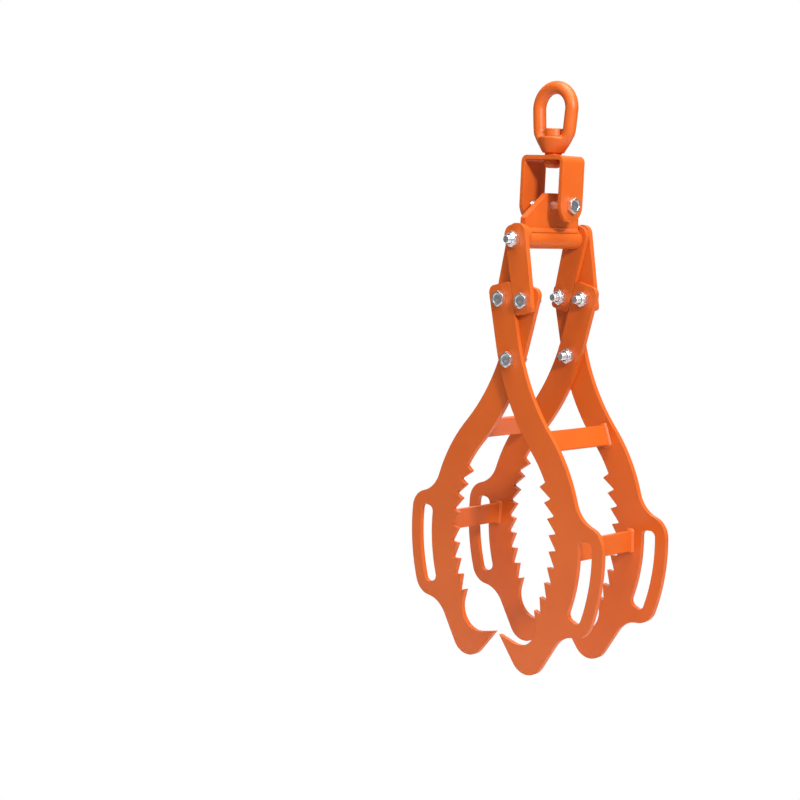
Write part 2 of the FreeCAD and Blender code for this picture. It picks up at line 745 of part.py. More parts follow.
def handle_edges(join):
    """From the arm's outer edge round the handle and down to the blend under it."""
    upper = polar(ARC_CENTRE, SLOT_RADIUS, HANDLE_START)
    lower = polar(ARC_CENTRE, SLOT_RADIUS, HANDLE_STOP)
    blend = size("shoulder_blend")
    reach = SLOT_RADIUS + HANDLE_ROUND
    pivot = circles_meet(upper, blend + HANDLE_ROUND, ARC_CENTRE, ARM_OUTER_RADIUS + blend)
    leave = heading(ARC_CENTRE, pivot) % 360
    meet = heading(upper, pivot) % 360
    belly = polar(lower, HANDLE_ROUND + size("belly_blend"), BELLY_HEADING)
    edges = [
        arc(ARC_CENTRE, ARM_OUTER_RADIUS, join, leave),
        arc(pivot, blend, heading(pivot, upper), heading(pivot, ARC_CENTRE)),
        arc(upper, HANDLE_ROUND, meet, HANDLE_START),
        arc(ARC_CENTRE, reach, HANDLE_START, HANDLE_STOP),
        arc(lower, HANDLE_ROUND, HANDLE_STOP, BELLY_HEADING),
    ]
    if meet > HANDLE_START:
        raise ValueError("the handle's shoulder is too high")
    return edges, belly


def hook_edges(belly):
    """From the blend under the handle round the hook and up to the last tooth."""
    last = polar(ARC_CENTRE, size("tooth_radius"), LAST_TOOTH)
    throat = last - Vector(0, size("hook_throat"), 0)
    curve = throat + Vector(size("hook_radius"), 0, 0)
    stop = 180 + size("hook_turn_angle")
    curve_end = polar(curve, size("hook_radius"), stop)
    tip = polar(curve_end, size("hook_point"), stop + 90)
    sole = curve.y - size("hook_radius") - size("hook_depth")
    heel = Vector(curve.x - size("heel_shift"), sole + size("heel_radius"), 0)

    span = heel - belly
    blend = size("belly_blend")
    swing = math.degrees(math.acos((blend + size("heel_radius")) / span.Length))
    off = heading(belly, heel) + swing
    back_start = polar(belly, blend, off)
    back_stop = polar(heel, size("heel_radius"), off + 180)
    lean = math.degrees(math.acos(size("heel_radius") / (tip - heel).Length))
    rise = heading(heel, tip) - lean
    back_tip = polar(heel, size("heel_radius"), rise)
    return [
        arc(belly, blend, off, BELLY_HEADING - 180),
        line(back_start, back_stop),
        arc(heel, size("heel_radius"), off + 180, rise + 360),
        line(back_tip, tip),
        line(tip, curve_end),
        arc(curve, size("hook_radius"), 180, stop),
        line(throat, last),
    ]


def tooth_edges(join):
    """The crest that the teeth are cut from, and the arm's inner edge above it."""
    first = FIRST_TOOTH
    crest = polar(ARC_CENTRE, size("tooth_radius"), first)
    notch = polar(ARC_CENTRE, ARM_INNER_RADIUS, first - size("gullet_lag_angle"))
    return [
        arc(ARC_CENTRE, size("tooth_radius"), first, LAST_TOOTH),
        line(crest, notch),
        arc(ARC_CENTRE, ARM_INNER_RADIUS, join, first - size("gullet_lag_angle")),
    ]


def cut_teeth(body, label):
    """One raked notch, repeated along the tooth arc."""
    origin = Vector(0, 0, 0)
    first = FIRST_TOOTH
    crest = size("tooth_radius")
    clear = crest - size("tooth_height") / 10
    pitch = size("tooth_pitch_angle")
    land = size("tooth_land_angle")
    root = polar(origin, crest + size("gullet_depth"), first + pitch - size("gullet_lag_angle"))
    corners = [
        polar(origin, clear, first + land),
        polar(origin, crest, first + land),
        root,
        polar(origin, crest, first + pitch),
        polar(origin, clear, first + pitch),
    ]
    sketch = new_sketch(body, label + "_notch_sketch", "XZ_Plane", ARC_CENTRE)
    sketch.addGeometry(rounded_polygon(corners, [0, 0, size("gullet_round"), 0, 0]), False)
    notch = cut_through(body, sketch, label + "_notch")
    pattern = body.newObject("PartDesign::PolarPattern", label + "_teeth")
    pattern.Originals = [notch]
    pattern.Axis = (sketch, ["N_Axis"])
    pattern.Mode = "Spacing"
    pattern.setExpression("Offset", "sizes.tooth_pitch_angle")
    pattern.setExpression("Occurrences", "sizes.tooth_count - 1")
    body.Tip = pattern
    doc.recompute()


def slot_edges():
    """Curved slot: an arc along each side, a straight end at each end, and rounded corners."""
    corner = size("slot_corner")
    outer = SLOT_RADIUS + size("slot_width") / 2
    inner = SLOT_RADIUS - size("slot_width") / 2
    outer_turn = math.degrees(math.asin(corner / (outer - corner)))
    inner_turn = math.degrees(math.asin(corner / (inner + corner)))
    edges = [
        arc(ARC_CENTRE, outer, SLOT_START + outer_turn, SLOT_STOP - outer_turn),
        arc(ARC_CENTRE, inner, SLOT_START + inner_turn, SLOT_STOP - inner_turn),
    ]
    for end, way in ((SLOT_START, 1), (SLOT_STOP, -1)):
        far = polar(ARC_CENTRE, outer - corner, end + way * outer_turn)
        near = polar(ARC_CENTRE, inner + corner, end + way * inner_turn)
        square = end - way * 90
        edges.append(line(polar(far, corner, square), polar(near, corner, square)))
        far_turn = sorted((square, end + way * outer_turn))
        near_turn = sorted((square + way * 360, end + way * inner_turn + way * 180))
        edges.append(arc(far, corner, far_turn[0], far_turn[1]))
        edges.append(arc(near, corner, near_turn[0], near_turn[1]))
    return edges


def make_claw(label, end, side):
    body = new_body(label)
    arm, join = arm_edges()
    handle, belly = handle_edges(join)
    outline = new_sketch(body, label + "_outline", "XZ_Plane")
    outline.addGeometry(arm + handle + hook_edges(belly) + tooth_edges(join), False)
    pad(body, outline, label + "_plate", "sizes.plate_thickness")
    cut_teeth(body, label)

    slot = new_sketch(body, label + "_slot_sketch", "XZ_Plane")
    slot.addGeometry(slot_edges(), False)
    cut_through(body, slot, label + "_slot")
    holes = new_sketch(body, label + "_hole_sketch", "XZ_Plane")
    add_circle(holes, Vector(0, 0, 0), BOLT_HOLE)
    add_circle(holes, Vector(0, size("link_length"), 0), BOLT_HOLE)
    cut_through(body, holes, label + "_holes")
    layer = INNER_MID_Y if side == LEFT else OUTER_MID_Y
    body.Placement = plate_placement(0, MAIN_PIVOT_Z, end * layer, side, REST_ANGLE)
    return body


# Crossbars between the claws of a pair, and their weld beads.

def bar_placement(side, level):
    radius = size("tooth_radius") + size(level + "_bar_setback")
    spot = polar(ARC_CENTRE, radius, FIRST_TOOTH + size(level + "_bar_angle"))
    claw = plate_placement(0, MAIN_PIVOT_Z, 0, side, REST_ANGLE)
    local = Placement(Vector(spot.x, 0, spot.y), Rotation(Y_AXIS, size(level + "_bar_tilt")))
    return claw.multiply(local)


def make_crossbar(label, side, level):
    body = new_body(label)
    section = new_sketch(body, label + "_section", "XZ_Plane")
    half_t = size("crossbar_thickness") / 2
    half_w = size("crossbar_width") / 2
    corners = [
        Vector(-half_t, -half_w, 0),
        Vector(half_t, -half_w, 0),
        Vector(half_t, half_w, 0),
        Vector(-half_t, half_w, 0),
    ]
    section.addGeometry(rounded_polygon(corners, [size("crossbar_round")] * 4), False)
    length = "sizes.tube_length + 2 * sizes.plate_gap"
    if side == RIGHT:
        length += " + 2 * (sizes.plate_thickness + sizes.plate_gap)"
    pad(body, section, label + "_bar", length)
    body.Placement = bar_placement(side, level)
    return body


def make_bead(label, side, level, end):
    """Bevelled ring of weld round one end of a crossbar, against the claw's inner face."""
    claw_face = INNER_FACE_Y if side == LEFT else OUTER_FACE_Y - size("plate_thickness")
    touch = 0.02
    leg = size("bead_leg")
    half_t = size("crossbar_thickness") / 2 + touch
    half_w = size("crossbar_width") / 2 + touch
    frustum = doc.addObject("Part::Wedge", label + "_frustum")
    frustum.Xmin = -half_t - leg
    frustum.Xmax = half_t + leg
    frustum.Zmin = -half_w - leg
    frustum.Zmax = half_w + leg
    frustum.Ymin = 0
    frustum.setExpression("Ymax", "sizes.bead_leg")
    frustum.X2min = -half_t
    frustum.X2max = half_t
    frustum.Z2min = -half_w
    frustum.Z2max = half_w
    bar = doc.addObject("Part::Box", label + "_opening")
    bar.Length = 2 * half_t
    bar.Height = 2 * half_w
    bar.setExpression("Width", "sizes.bead_leg")
    bar.Placement.Base = Vector(-half_t, 0, -half_w)
    bead = cut(label, frustum, bar)
    turn = Rotation() if end == FRONT else Rotation(X_AXIS, 180)
    seat = Placement(Vector(0, end * (claw_face - touch), 0), turn)
    bead.Placement = bar_placement(side, level).multiply(seat)
    return bead


def make_crossbars(side, word):
    parts = []
    beads = []
    for level in ("upper", "lower"):
        label = "crossbar_%s_%s" % (level, word)
        parts.append(make_crossbar(label, side, level))
        for end, end_word in ((FRONT, "front"), (BACK, "back")):
            beads.append(make_bead("%s_%s_bead" % (label, end_word), side, level, end))
    return parts + [group("crossbar_welds_" + word, beads)]


# The assembly.

def build():
    parts = [make_swivel_eye(), make_swivel_pin(), make_swivel_washer(), make_clevis_bracket()]
    parts += make_clevis_fasteners()
    parts += [make_hanger_plate(), make_hanger_tube(), make_hanger_welds()]
    parts += make_top_pivot_fasteners()
    for side, word in ((LEFT, "left"), (RIGHT, "right")):
        for end, end_word in ((FRONT, "front"), (BACK, "back")):
            parts.append(make_link("link_%s_%s" % (end_word, word), end, side))
            parts.append(make_claw("claw_%s_%s" % (end_word, word), end, side))
        parts += make_crossbars(side, word)
        parts += make_plate_fasteners(side * LINK_REACH, LINK_Z, "link_" + word)
    parts += make_plate_fasteners(0, MAIN_PIVOT_Z, "main_pivot")
    doc.recompute()
    return parts


def check_document():
    for thing in doc.Objects:
        if "Invalid" in thing.State or "Error" in thing.State:
            raise RuntimeError("%s did not build: %s" % (thing.Name, thing.State))


def write_parts(parts):
    os.makedirs("parts", exist_ok=True)
    for part in parts:
        shape = part.Shape
        if shape.isNull() or not shape.isValid() or not shape.Solids:
            raise RuntimeError("%s has no valid solid" % part.Label)
        shape.exportStep("parts/%s.step" % part.Label)
        print("%-26s solids %d  volume %.1f" % (part.Label, len(shape.Solids), shape.Volume))


grapple = build()
check_document()
write_parts(grapple)
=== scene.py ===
import json
import math

import bmesh
import bpy
from mathutils import Matrix, Vector


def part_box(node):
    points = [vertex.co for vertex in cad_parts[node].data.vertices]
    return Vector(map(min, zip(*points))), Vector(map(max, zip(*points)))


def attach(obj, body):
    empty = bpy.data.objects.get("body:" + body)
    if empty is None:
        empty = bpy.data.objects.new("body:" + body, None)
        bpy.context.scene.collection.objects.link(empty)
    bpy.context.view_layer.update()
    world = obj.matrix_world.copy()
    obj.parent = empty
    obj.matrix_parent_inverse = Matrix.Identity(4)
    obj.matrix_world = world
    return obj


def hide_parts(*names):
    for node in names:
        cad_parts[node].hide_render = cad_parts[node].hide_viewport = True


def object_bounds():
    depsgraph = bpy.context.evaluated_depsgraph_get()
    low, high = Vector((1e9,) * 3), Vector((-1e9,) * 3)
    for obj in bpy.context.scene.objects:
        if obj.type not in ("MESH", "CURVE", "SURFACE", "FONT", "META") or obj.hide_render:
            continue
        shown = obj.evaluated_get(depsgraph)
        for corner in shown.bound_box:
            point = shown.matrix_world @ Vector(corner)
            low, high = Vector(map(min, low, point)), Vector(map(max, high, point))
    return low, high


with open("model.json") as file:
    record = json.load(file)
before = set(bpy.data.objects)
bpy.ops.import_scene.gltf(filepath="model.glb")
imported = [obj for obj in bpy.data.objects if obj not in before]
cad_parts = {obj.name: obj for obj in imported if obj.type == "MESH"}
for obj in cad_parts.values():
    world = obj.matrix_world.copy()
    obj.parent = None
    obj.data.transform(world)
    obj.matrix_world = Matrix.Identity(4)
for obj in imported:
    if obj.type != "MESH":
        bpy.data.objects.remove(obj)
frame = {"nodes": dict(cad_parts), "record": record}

cad_low, cad_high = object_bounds()

# M10 bolts and lock nuts, in metres. Their outer sizes are the CAD's, the thread and fine edges are
# only here.
BOLT_RADIUS = 0.005
SHANK_RADIUS = BOLT_RADIUS * 0.985
SHANK_STEP = 0.0002
SHANK_SIDES = 32
BORE_PLAY = 0.00008
THREAD_PITCH = 0.0015
THREAD_DEPTH = 0.00085
THREAD_CHAMFER = 0.0012
CREST_SHARE = 0.125
ROOT_SHARE = 0.25
FLATS = 0.017
HALF_FLATS = FLATS / 2
CORNER_RADIUS = FLATS / math.sqrt(3)
CHAMFER_MIDDLE_RADIUS = HALF_FLATS * 1.07
CHAMFER_ANGLE = math.radians(30)
HEX_SIDES = 48
HEAD_HEIGHT = 0.0064
HEAD_FACE_RADIUS = HALF_FLATS * 0.955
WASHER_FACE_RADIUS = HALF_FLATS * 0.97
WASHER_FACE_HEIGHT = 0.0004
DISH_RADIUS = 0.0060
DISH_DEPTH = 0.0006
NUT_HEX_HEIGHT = 0.007
NUT_FACE_RADIUS = HALF_FLATS * 0.95
NUT_CHAMFER = 0.0013
NUT_CHAMFER_MIDDLE = 0.0006
COLLAR_HEIGHT = 0.003
COLLAR_RADIUS = 0.0074
INSERT_RADIUS = 0.0063
INSERT_INNER_PLAY = 0.00005
INSERT_OUTER_PLAY = 0.0002
INSERT_HEIGHT = 0.0022
SHARP_ANGLE = math.radians(28)

# Dish of a bolt's head: shares of its radius and depth, from the rim to the raised middle.
DISH_PROFILE = ((1.06, 0), (0.96, 0.8), (0.80, 1), (0.30, 1), (0.20, 0.7))

# The forged eye, in metres. Its bowl is an oval cone between the foot and the seat of the pin's head.
EYE_MESH_SIZE = 0.0008
BOSS_HEIGHT = 0.020
BOSS_SKIN = 0.0016
BOWL_FOOT = (0.0130, 0.0128)
BOWL_TOP = (0.0295, 0.0175)
BOWL_HEIGHT_SHARE = 0.985
BOWL_FULLNESS = 1.25
BOWL_OVAL = 1.55
FOOT_OVAL = 2.0
BOWL_LIP = 0.0016
LIP_SHARE = 0.14
PIN_SHANK_RADIUS = 0.008
PIN_HEAD_RADIUS = 0.012
PIN_HEAD_HEIGHT = 0.009
HEAD_CLEARANCE = 0.0006
SHANK_CLEARANCE = 0.0003
SEAT_BAND = 0.0009

# The zone where the eye's legs are softened into the bowl, and how far each side of it shrinks.
SHOULDER_SIDE = 0.010
SHOULDER_SIDE_SHRINK = 0.003
SHOULDER_FOOT = 0.0012
SHOULDER_FOOT_SHRINK = 0.002
SHOULDER_TOP = 0.012
SHOULDER_TOP_SHRINK = 0.005
SHOULDER_HEAD_GAP = 0.0015
SHOULDER_SWEEPS = 40
WHOLE_EYE_SWEEPS = 3
SOFTENING_FACTOR = 0.5

# Crossbars and weld beads, in metres. The bars are the CAD's, the ripples are only here.
BAR_HALF_WIDTH = 0.0125
BAR_HALF_THICKNESS = 0.003
BAR_ROUND = 0.001
BAR_STEP = 0.0004
CORNER_STEPS = 6
BEAD_LEG = 0.0032
BEAD_POINTS = 9
BEAD_FLATTENING = 0.17
RIPPLE_PITCH = 0.0021
RIPPLE_HEIGHT = 0.10
RIPPLE_CURVE = 0.45
RIPPLE_MIDDLE = 0.6
RIPPLE_AT_TOES = 0.4
FILLET_LEG = 0.0042
FILLET_STEP = 0.0005
FILLET_END_SHARE = 0.15
FILLET_END_LENGTH = 0.004

# Looks. Colours are linear, noise scales are per metre, heights and radii are in metres.
RAMP_START = 0.3
RAMP_STOP = 0.7
PAINT_COLOURS = ((0.595, 0.097, 0.0062), (0.640, 0.112, 0.0086))
PAINT_TONE_SCALE = 9.0
PAINT_ROUGHNESS = (0.42, 0.52)
PAINT_GLOSS_SCALE = 60.0
PAINT_SPECULAR = 0.45
PAINT_COAT = 0.12
PAINT_COAT_ROUGHNESS = 0.28
PAINT_BUMP = 0.5
ZINC_COLOURS = ((0.74, 0.76, 0.79), (0.86, 0.87, 0.88))
ZINC_ROUGHNESS = (0.42, 0.32)
ZINC_BLOTCH_SCALE = 350.0
ZINC_MARK_SCALE = 1800.0
ZINC_MARK_HEIGHT = 0.00002
ZINC_EDGE_RADIUS = 0.00025
NYLON_COLOURS = ((0.012, 0.025, 0.085), (0.020, 0.040, 0.120))
NYLON_ROUGHNESS = (0.38, 0.50)
NYLON_GRAIN_SCALE = 900.0
NYLON_GRAIN_HEIGHT = 0.00005
FINE_BUMP = 0.3
FORGED_NODES = ("swivel_eye", "swivel_pin", "swivel_washer")

# Floor and backdrop.
WHITE = (1, 1, 1, 1)
FLOOR_DROP = 0.16
FLOOR_SIZE = 3.0
FLOOR_GREY = 0.78
FLOOR_ROUGHNESS = 0.9
WORLD_LEVEL = 0.13

# Photograph: the right-hand view, in an 800 by 800 frame.
FRAME_SIZE = 800
FOCAL_PIXELS = 1608.0
SENSOR_WIDTH = 36.0
CLIP_START = 0.05
VIEW_AZIMUTH = 40.9
VIEW_ELEVATION = 6.1
VIEW_DISTANCE = 1.980
VIEW_ROLL = -2.9
OBJECT_CENTRE = Vector((0, 0, -0.340))
CENTRE_PIXEL = (541.9, 375.6)


# Materials.

def new_material(name):
    material = bpy.data.materials.new(name)
    material.use_nodes = True
    nodes = material.node_tree.nodes
    return material, nodes, material.node_tree.links, nodes["Principled BSDF"]


def noise(nodes, links, coordinates, scale, detail=3.0):
    texture = nodes.new("ShaderNodeTexNoise")
    texture.inputs["Scale"].default_value = scale
    texture.inputs["Detail"].default_value = detail
    links.new(coordinates, texture.inputs["Vector"])
    return texture.outputs["Fac"]


def ramp(nodes, links, factor, colours):
    """Colour that goes from the first to the second with the factor."""
    node = nodes.new("ShaderNodeValToRGB")
    stops = node.color_ramp.elements
    stops[0].position = RAMP_START
    stops[1].position = RAMP_STOP
    stops[0].color = (*colours[0], 1)
    stops[1].color = (*colours[1], 1)
    links.new(factor, node.inputs["Fac"])
    return node.outputs["Color"]


def grey_ramp(nodes, links, factor, levels):
    """Grey level that goes from the first to the second with the factor."""
    return ramp(nodes, links, factor, [(level,) * 3 for level in levels])


def rounded_edges(nodes, radius, samples):
    """Normal that makes sharp edges catch the light as small rounds do."""
    bevel = nodes.new("ShaderNodeBevel")
    bevel.samples = samples
    bevel.inputs["Radius"].default_value = radius
    return bevel.outputs["Normal"]


def add_bump(nodes, links, height, strength, distance, normal=None):
    bump = nodes.new("ShaderNodeBump")
    bump.inputs["Strength"].default_value = strength
    bump.inputs["Distance"].default_value = distance
    links.new(height, bump.inputs["Height"])
    if normal:
        links.new(normal, bump.inputs["Normal"])
    return bump.outputs["Normal"]


def paint(name, peel_scale, peel_height, lump_scale, lump_height, edge_radius):
    """Glossy orange powder coat, with orange peel and rounded edges."""
    material, nodes, links, shader = new_material(name)
    place = nodes.new("ShaderNodeTexCoord").outputs["Object"]
    tone = noise(nodes, links, place, PAINT_TONE_SCALE)
    links.new(ramp(nodes, links, tone, PAINT_COLOURS), shader.inputs["Base Color"])
    gloss = noise(nodes, links, place, PAINT_GLOSS_SCALE, detail=4.0)
    links.new(grey_ramp(nodes, links, gloss, PAINT_ROUGHNESS), shader.inputs["Roughness"])
    edges = rounded_edges(nodes, edge_radius, samples=6)
    lump_noise = noise(nodes, links, place, lump_scale)
    lumps = add_bump(nodes, links, lump_noise, PAINT_BUMP, lump_height, edges)
    peel_noise = noise(nodes, links, place, peel_scale, detail=2.0)
    peel = add_bump(nodes, links, peel_noise, PAINT_BUMP, peel_height, lumps)
    links.new(peel, shader.inputs["Normal"])
    shader.inputs["Specular IOR Level"].default_value = PAINT_SPECULAR
    shader.inputs["Coat Weight"].default_value = PAINT_COAT
    shader.inputs["Coat Roughness"].default_value = PAINT_COAT_ROUGHNESS
    return material


def zinc(name):
    """Bright zinc plate with faint blotches and drawing marks."""
    material, nodes, links, shader = new_material(name)
    place = nodes.new("ShaderNodeTexCoord").outputs["Object"]
    blotch = noise(nodes, links, place, ZINC_BLOTCH_SCALE, detail=4.0)
    links.new(ramp(nodes, links, blotch, ZINC_COLOURS), shader.inputs["Base Color"])
    links.new(grey_ramp(nodes, links, blotch, ZINC_ROUGHNESS), shader.inputs["Roughness"])
    edges = rounded_edges(nodes, ZINC_EDGE_RADIUS, samples=4)
    mark_noise = noise(nodes, links, place, ZINC_MARK_SCALE)
    marks = add_bump(nodes, links, mark_noise, FINE_BUMP, ZINC_MARK_HEIGHT, edges)
    links.new(marks, shader.inputs["Normal"])
    shader.inputs["Metallic"].default_value = 1.0
    return material


def nylon(name):
    """Blue nylon with a faint grain."""
    material, nodes, links, shader = new_material(name)
    place = nodes.new("ShaderNodeTexCoord").outputs["Object"]
    grain = noise(nodes, links, place, NYLON_GRAIN_SCALE)
    links.new(ramp(nodes, links, grain, NYLON_COLOURS), shader.inputs["Base Color"])
    links.new(grey_ramp(nodes, links, grain, NYLON_ROUGHNESS), shader.inputs["Roughness"])
    bump = add_bump(nodes, links, grain, FINE_BUMP, NYLON_GRAIN_HEIGHT)
    links.new(bump, shader.inputs["Normal"])
    return material


PLATE_PAINT = paint("orange_plate", peel_scale=1500.0, peel_height=0.00003,
                    lump_scale=120.0, lump_height=0.00005, edge_radius=0.0009)
FORGED_PAINT = paint("orange_forged", peel_scale=1300.0, peel_height=0.00004,
                     lump_scale=170.0, lump_height=0.00022, edge_radius=0.0012)
WELD_PAINT = paint("orange_weld", peel_scale=1300.0, peel_height=0.00004,
                   lump_scale=300.0, lump_height=0.00025, edge_radius=0.0004)
ZINC = zinc("bright_zinc")
NYLON = nylon("blue_nylon")


def dress(node, material):
    obj = frame["nodes"][node]
    obj.data.materials.clear()
    obj.data.materials.append(material)


for entry in frame["record"]["subparts"]:
    if entry["material_slot"] == "orange_paint":
        dress(entry["node"], FORGED_PAINT if entry["node"] in FORGED_NODES else PLATE_PAINT)
    elif entry["material_slot"] == "zinc_fastener":
        dress(entry["node"], ZINC)
    else:
        dress(entry["node"], NYLON)


# Fasteners, drawn along +Z from the face that they bear on.

def around(mesh, radius_at, z, sides):
    """A closed row of points at one height, with a radius for each angle."""
    points = []
    for i in range(sides):
        angle = 2 * math.pi * i / sides
        radius = radius_at(angle)
        points.append(mesh.verts.new((radius * math.cos(angle), radius * math.sin(angle), z)))
    return points


def ring(mesh, radius, z, sides=HEX_SIDES):
    return around(mesh, lambda angle: radius, z, sides)


def hex_radius(angle):
    """Distance from the middle of the hexagon to its edge at an angle."""
    off = (angle + math.pi / 6) % (math.pi / 3) - math.pi / 6
    return HALF_FLATS / math.cos(off)


def hex_ring(mesh, z, limit):
    """Hexagon trimmed to a circle, as the chamfer of a head leaves it."""
    return around(mesh, lambda angle: min(hex_radius(angle), limit), z, HEX_SIDES)


def skin(mesh, rings):
    """Faces between each row of points and the next."""
    for lower, upper in zip(rings, rings[1:]):
        count = len(lower)
        for i in range(count):
            j = (i + 1) % count
            mesh.faces.new((lower[i], lower[j], upper[j], upper[i]))


def cap(mesh, points, top=True):
    mesh.faces.new(points if top else points[::-1])


def draw_head(mesh):
    """Hexagon with a round washer face under it, a chamfer round its top and a shallow dish."""
    chamfer = (CORNER_RADIUS - HALF_FLATS) * math.tan(CHAMFER_ANGLE)
    rings = [
        ring(mesh, BOLT_RADIUS, 0),
        ring(mesh, WASHER_FACE_RADIUS, 0),
        ring(mesh, WASHER_FACE_RADIUS, WASHER_FACE_HEIGHT),
        hex_ring(mesh, WASHER_FACE_HEIGHT, CORNER_RADIUS * 0.985),
        hex_ring(mesh, WASHER_FACE_HEIGHT + 0.0005, CORNER_RADIUS),
        hex_ring(mesh, HEAD_HEIGHT - chamfer * 1.25, CORNER_RADIUS),
        hex_ring(mesh, HEAD_HEIGHT - chamfer * 0.55, CHAMFER_MIDDLE_RADIUS),
        ring(mesh, HEAD_FACE_RADIUS, HEAD_HEIGHT),
    ]
    for out, down in DISH_PROFILE:
        rings.append(ring(mesh, DISH_RADIUS * out, HEAD_HEIGHT - DISH_DEPTH * down))
    skin(mesh, rings)
    cap(mesh, rings[0], top=False)
    cap(mesh, rings[-1])


def thread_radius(z, angle, bottom, top):
    """Metric thread with flat crests and roots, a chamfer at its lower end and a run-out at its top."""
    phase = ((z - bottom) / THREAD_PITCH - angle / (2 * math.pi)) % 1.0
    flank = (1 - CREST_SHARE - ROOT_SHARE) / 2
    rise = (abs(phase - 0.5) - ROOT_SHARE / 2) / flank
    rise = max(rise, 1 - (top - z) / THREAD_PITCH, 0)
    chamfer = (z - bottom) / THREAD_CHAMFER
    return BOLT_RADIUS - THREAD_DEPTH * (1 - min(rise, chamfer, 1))


def thread_rings(mesh, bottom, top):
    """Rings close enough that each thread has one on its crest."""
    count = math.ceil((top - bottom) / (THREAD_PITCH * CREST_SHARE))
    rings = []
    for step in range(count + 1):
        z = bottom + (top - bottom) * step / count
        rings.append(around(mesh, lambda angle: thread_radius(z, angle, bottom, top), z, SHANK_SIDES))
    return rings


def draw_bolt(mesh, length, thread):
    """Head above the bearing face, plain shank and thread below it."""
    draw_head(mesh)
    joint = thread - length
    rings = thread_rings(mesh, -length, joint)
    rings.append(ring(mesh, SHANK_RADIUS, joint + SHANK_STEP, SHANK_SIDES))
    rings.append(ring(mesh, SHANK_RADIUS, HEAD_HEIGHT / 4, SHANK_SIDES))
    skin(mesh, rings)
    cap(mesh, rings[0], top=False)
    cap(mesh, rings[-1])


def draw_nut(mesh):
    """Lock nut: a chamfered hexagon, and a collar rolled in over the groove for the nylon ring."""
    bore = BOLT_RADIUS + BORE_PLAY
    top = NUT_HEX_HEIGHT + COLLAR_HEIGHT
    rings = [
        ring(mesh, bore, 0.0003),
        ring(mesh, bore + 0.0004, 0),
        ring(mesh, NUT_FACE_RADIUS, 0),
        hex_ring(mesh, NUT_CHAMFER_MIDDLE, CHAMFER_MIDDLE_RADIUS),
        hex_ring(mesh, NUT_CHAMFER, CORNER_RADIUS),
        hex_ring(mesh, NUT_HEX_HEIGHT - NUT_CHAMFER, CORNER_RADIUS),
        hex_ring(mesh, NUT_HEX_HEIGHT - NUT_CHAMFER_MIDDLE, CHAMFER_MIDDLE_RADIUS),
        ring(mesh, NUT_FACE_RADIUS, NUT_HEX_HEIGHT),
        ring(mesh, COLLAR_RADIUS + 0.0001, NUT_HEX_HEIGHT + 0.0001),
        ring(mesh, COLLAR_RADIUS - 0.0001, NUT_HEX_HEIGHT + 0.0004),
        ring(mesh, COLLAR_RADIUS - 0.0002, top - 0.0011),
        ring(mesh, COLLAR_RADIUS - 0.0006, top - 0.0004),
        ring(mesh, COLLAR_RADIUS - 0.0011, top),
        ring(mesh, INSERT_RADIUS - 0.0001, top - 0.0001),
        ring(mesh, INSERT_RADIUS - 0.0002, top - 0.0008),
        ring(mesh, INSERT_RADIUS + 0.00005, NUT_HEX_HEIGHT + 0.0002),
        ring(mesh, bore, NUT_HEX_HEIGHT + 0.0002),
    ]
    skin(mesh, rings + [rings[0]])


def draw_insert(mesh):
    """Nylon ring in the groove of a lock nut."""
    bore = BOLT_RADIUS + INSERT_INNER_PLAY
    outside = INSERT_RADIUS - INSERT_OUTER_PLAY
    foot = NUT_HEX_HEIGHT + 0.0003
    top = NUT_HEX_HEIGHT + INSERT_HEIGHT
    rings = [
        ring(mesh, bore, foot),
        ring(mesh, outside, foot),
        ring(mesh, outside, top - 0.0003),
        ring(mesh, INSERT_RADIUS - 0.0006, top),
        ring(mesh, bore + 0.0004, top),
        ring(mesh, bore, top - 0.0004),
    ]
    skin(mesh, rings + [rings[0]])


def make_piece(name, draw, places, material, body, nodes):
    """One piece made of copies of a drawn mesh, in place of the CAD nodes it stands for."""
    mesh = bmesh.new()
    for place in places:
        copy = bmesh.new()
        draw(copy)
        copy.transform(place)
        data = bpy.data.meshes.new(name + "_copy")
        copy.to_mesh(data)
        copy.free()
        mesh.from_mesh(data)
        bpy.data.meshes.remove(data)
    bmesh.ops.recalc_face_normals(mesh, faces=mesh.faces)
    data = bpy.data.meshes.new(name)
    mesh.to_mesh(data)
    mesh.free()
    obj = bpy.data.objects.new(name, data)
    bpy.context.scene.collection.objects.link(obj)
    data.materials.append(material)
    for face in data.polygons:
        face.use_smooth = True
    data.set_sharp_from_angle(angle=SHARP_ANGLE)
    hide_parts(*nodes)
    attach(obj, body)


def along(point, direction):
    """Places local +Z at a point, along a direction."""
    turn = Vector(direction).to_track_quat("Z", "Y").to_matrix().to_4x4()
    return Matrix.Translation(point) @ turn


def single_fastener(label, body, axis, length, thread):
    """A bolt whose head is at the upper end of the axis, with a lock nut at the lower end."""
    low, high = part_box(label + "_bolt")
    way = Vector((0, 0, 0))
    way[axis] = 1
    head = (low + high) / 2
    head[axis] = high[axis] - HEAD_HEIGHT
    nut = (low + high) / 2
    nut[axis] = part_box(label + "_nut")[1][axis]
    bolts = [along(head, way)]
    nuts = [along(nut, -way)]
    make_piece(label + "_threaded_bolt", lambda m: draw_bolt(m, length, thread), bolts,
               ZINC, body, [label + "_bolt"])
    make_piece(label + "_lock_nut", draw_nut, nuts,
               ZINC, body, [label + "_nut"])
    make_piece(label + "_nylon_ring", draw_insert, nuts,
               NYLON, body, [label + "_nut_insert"])


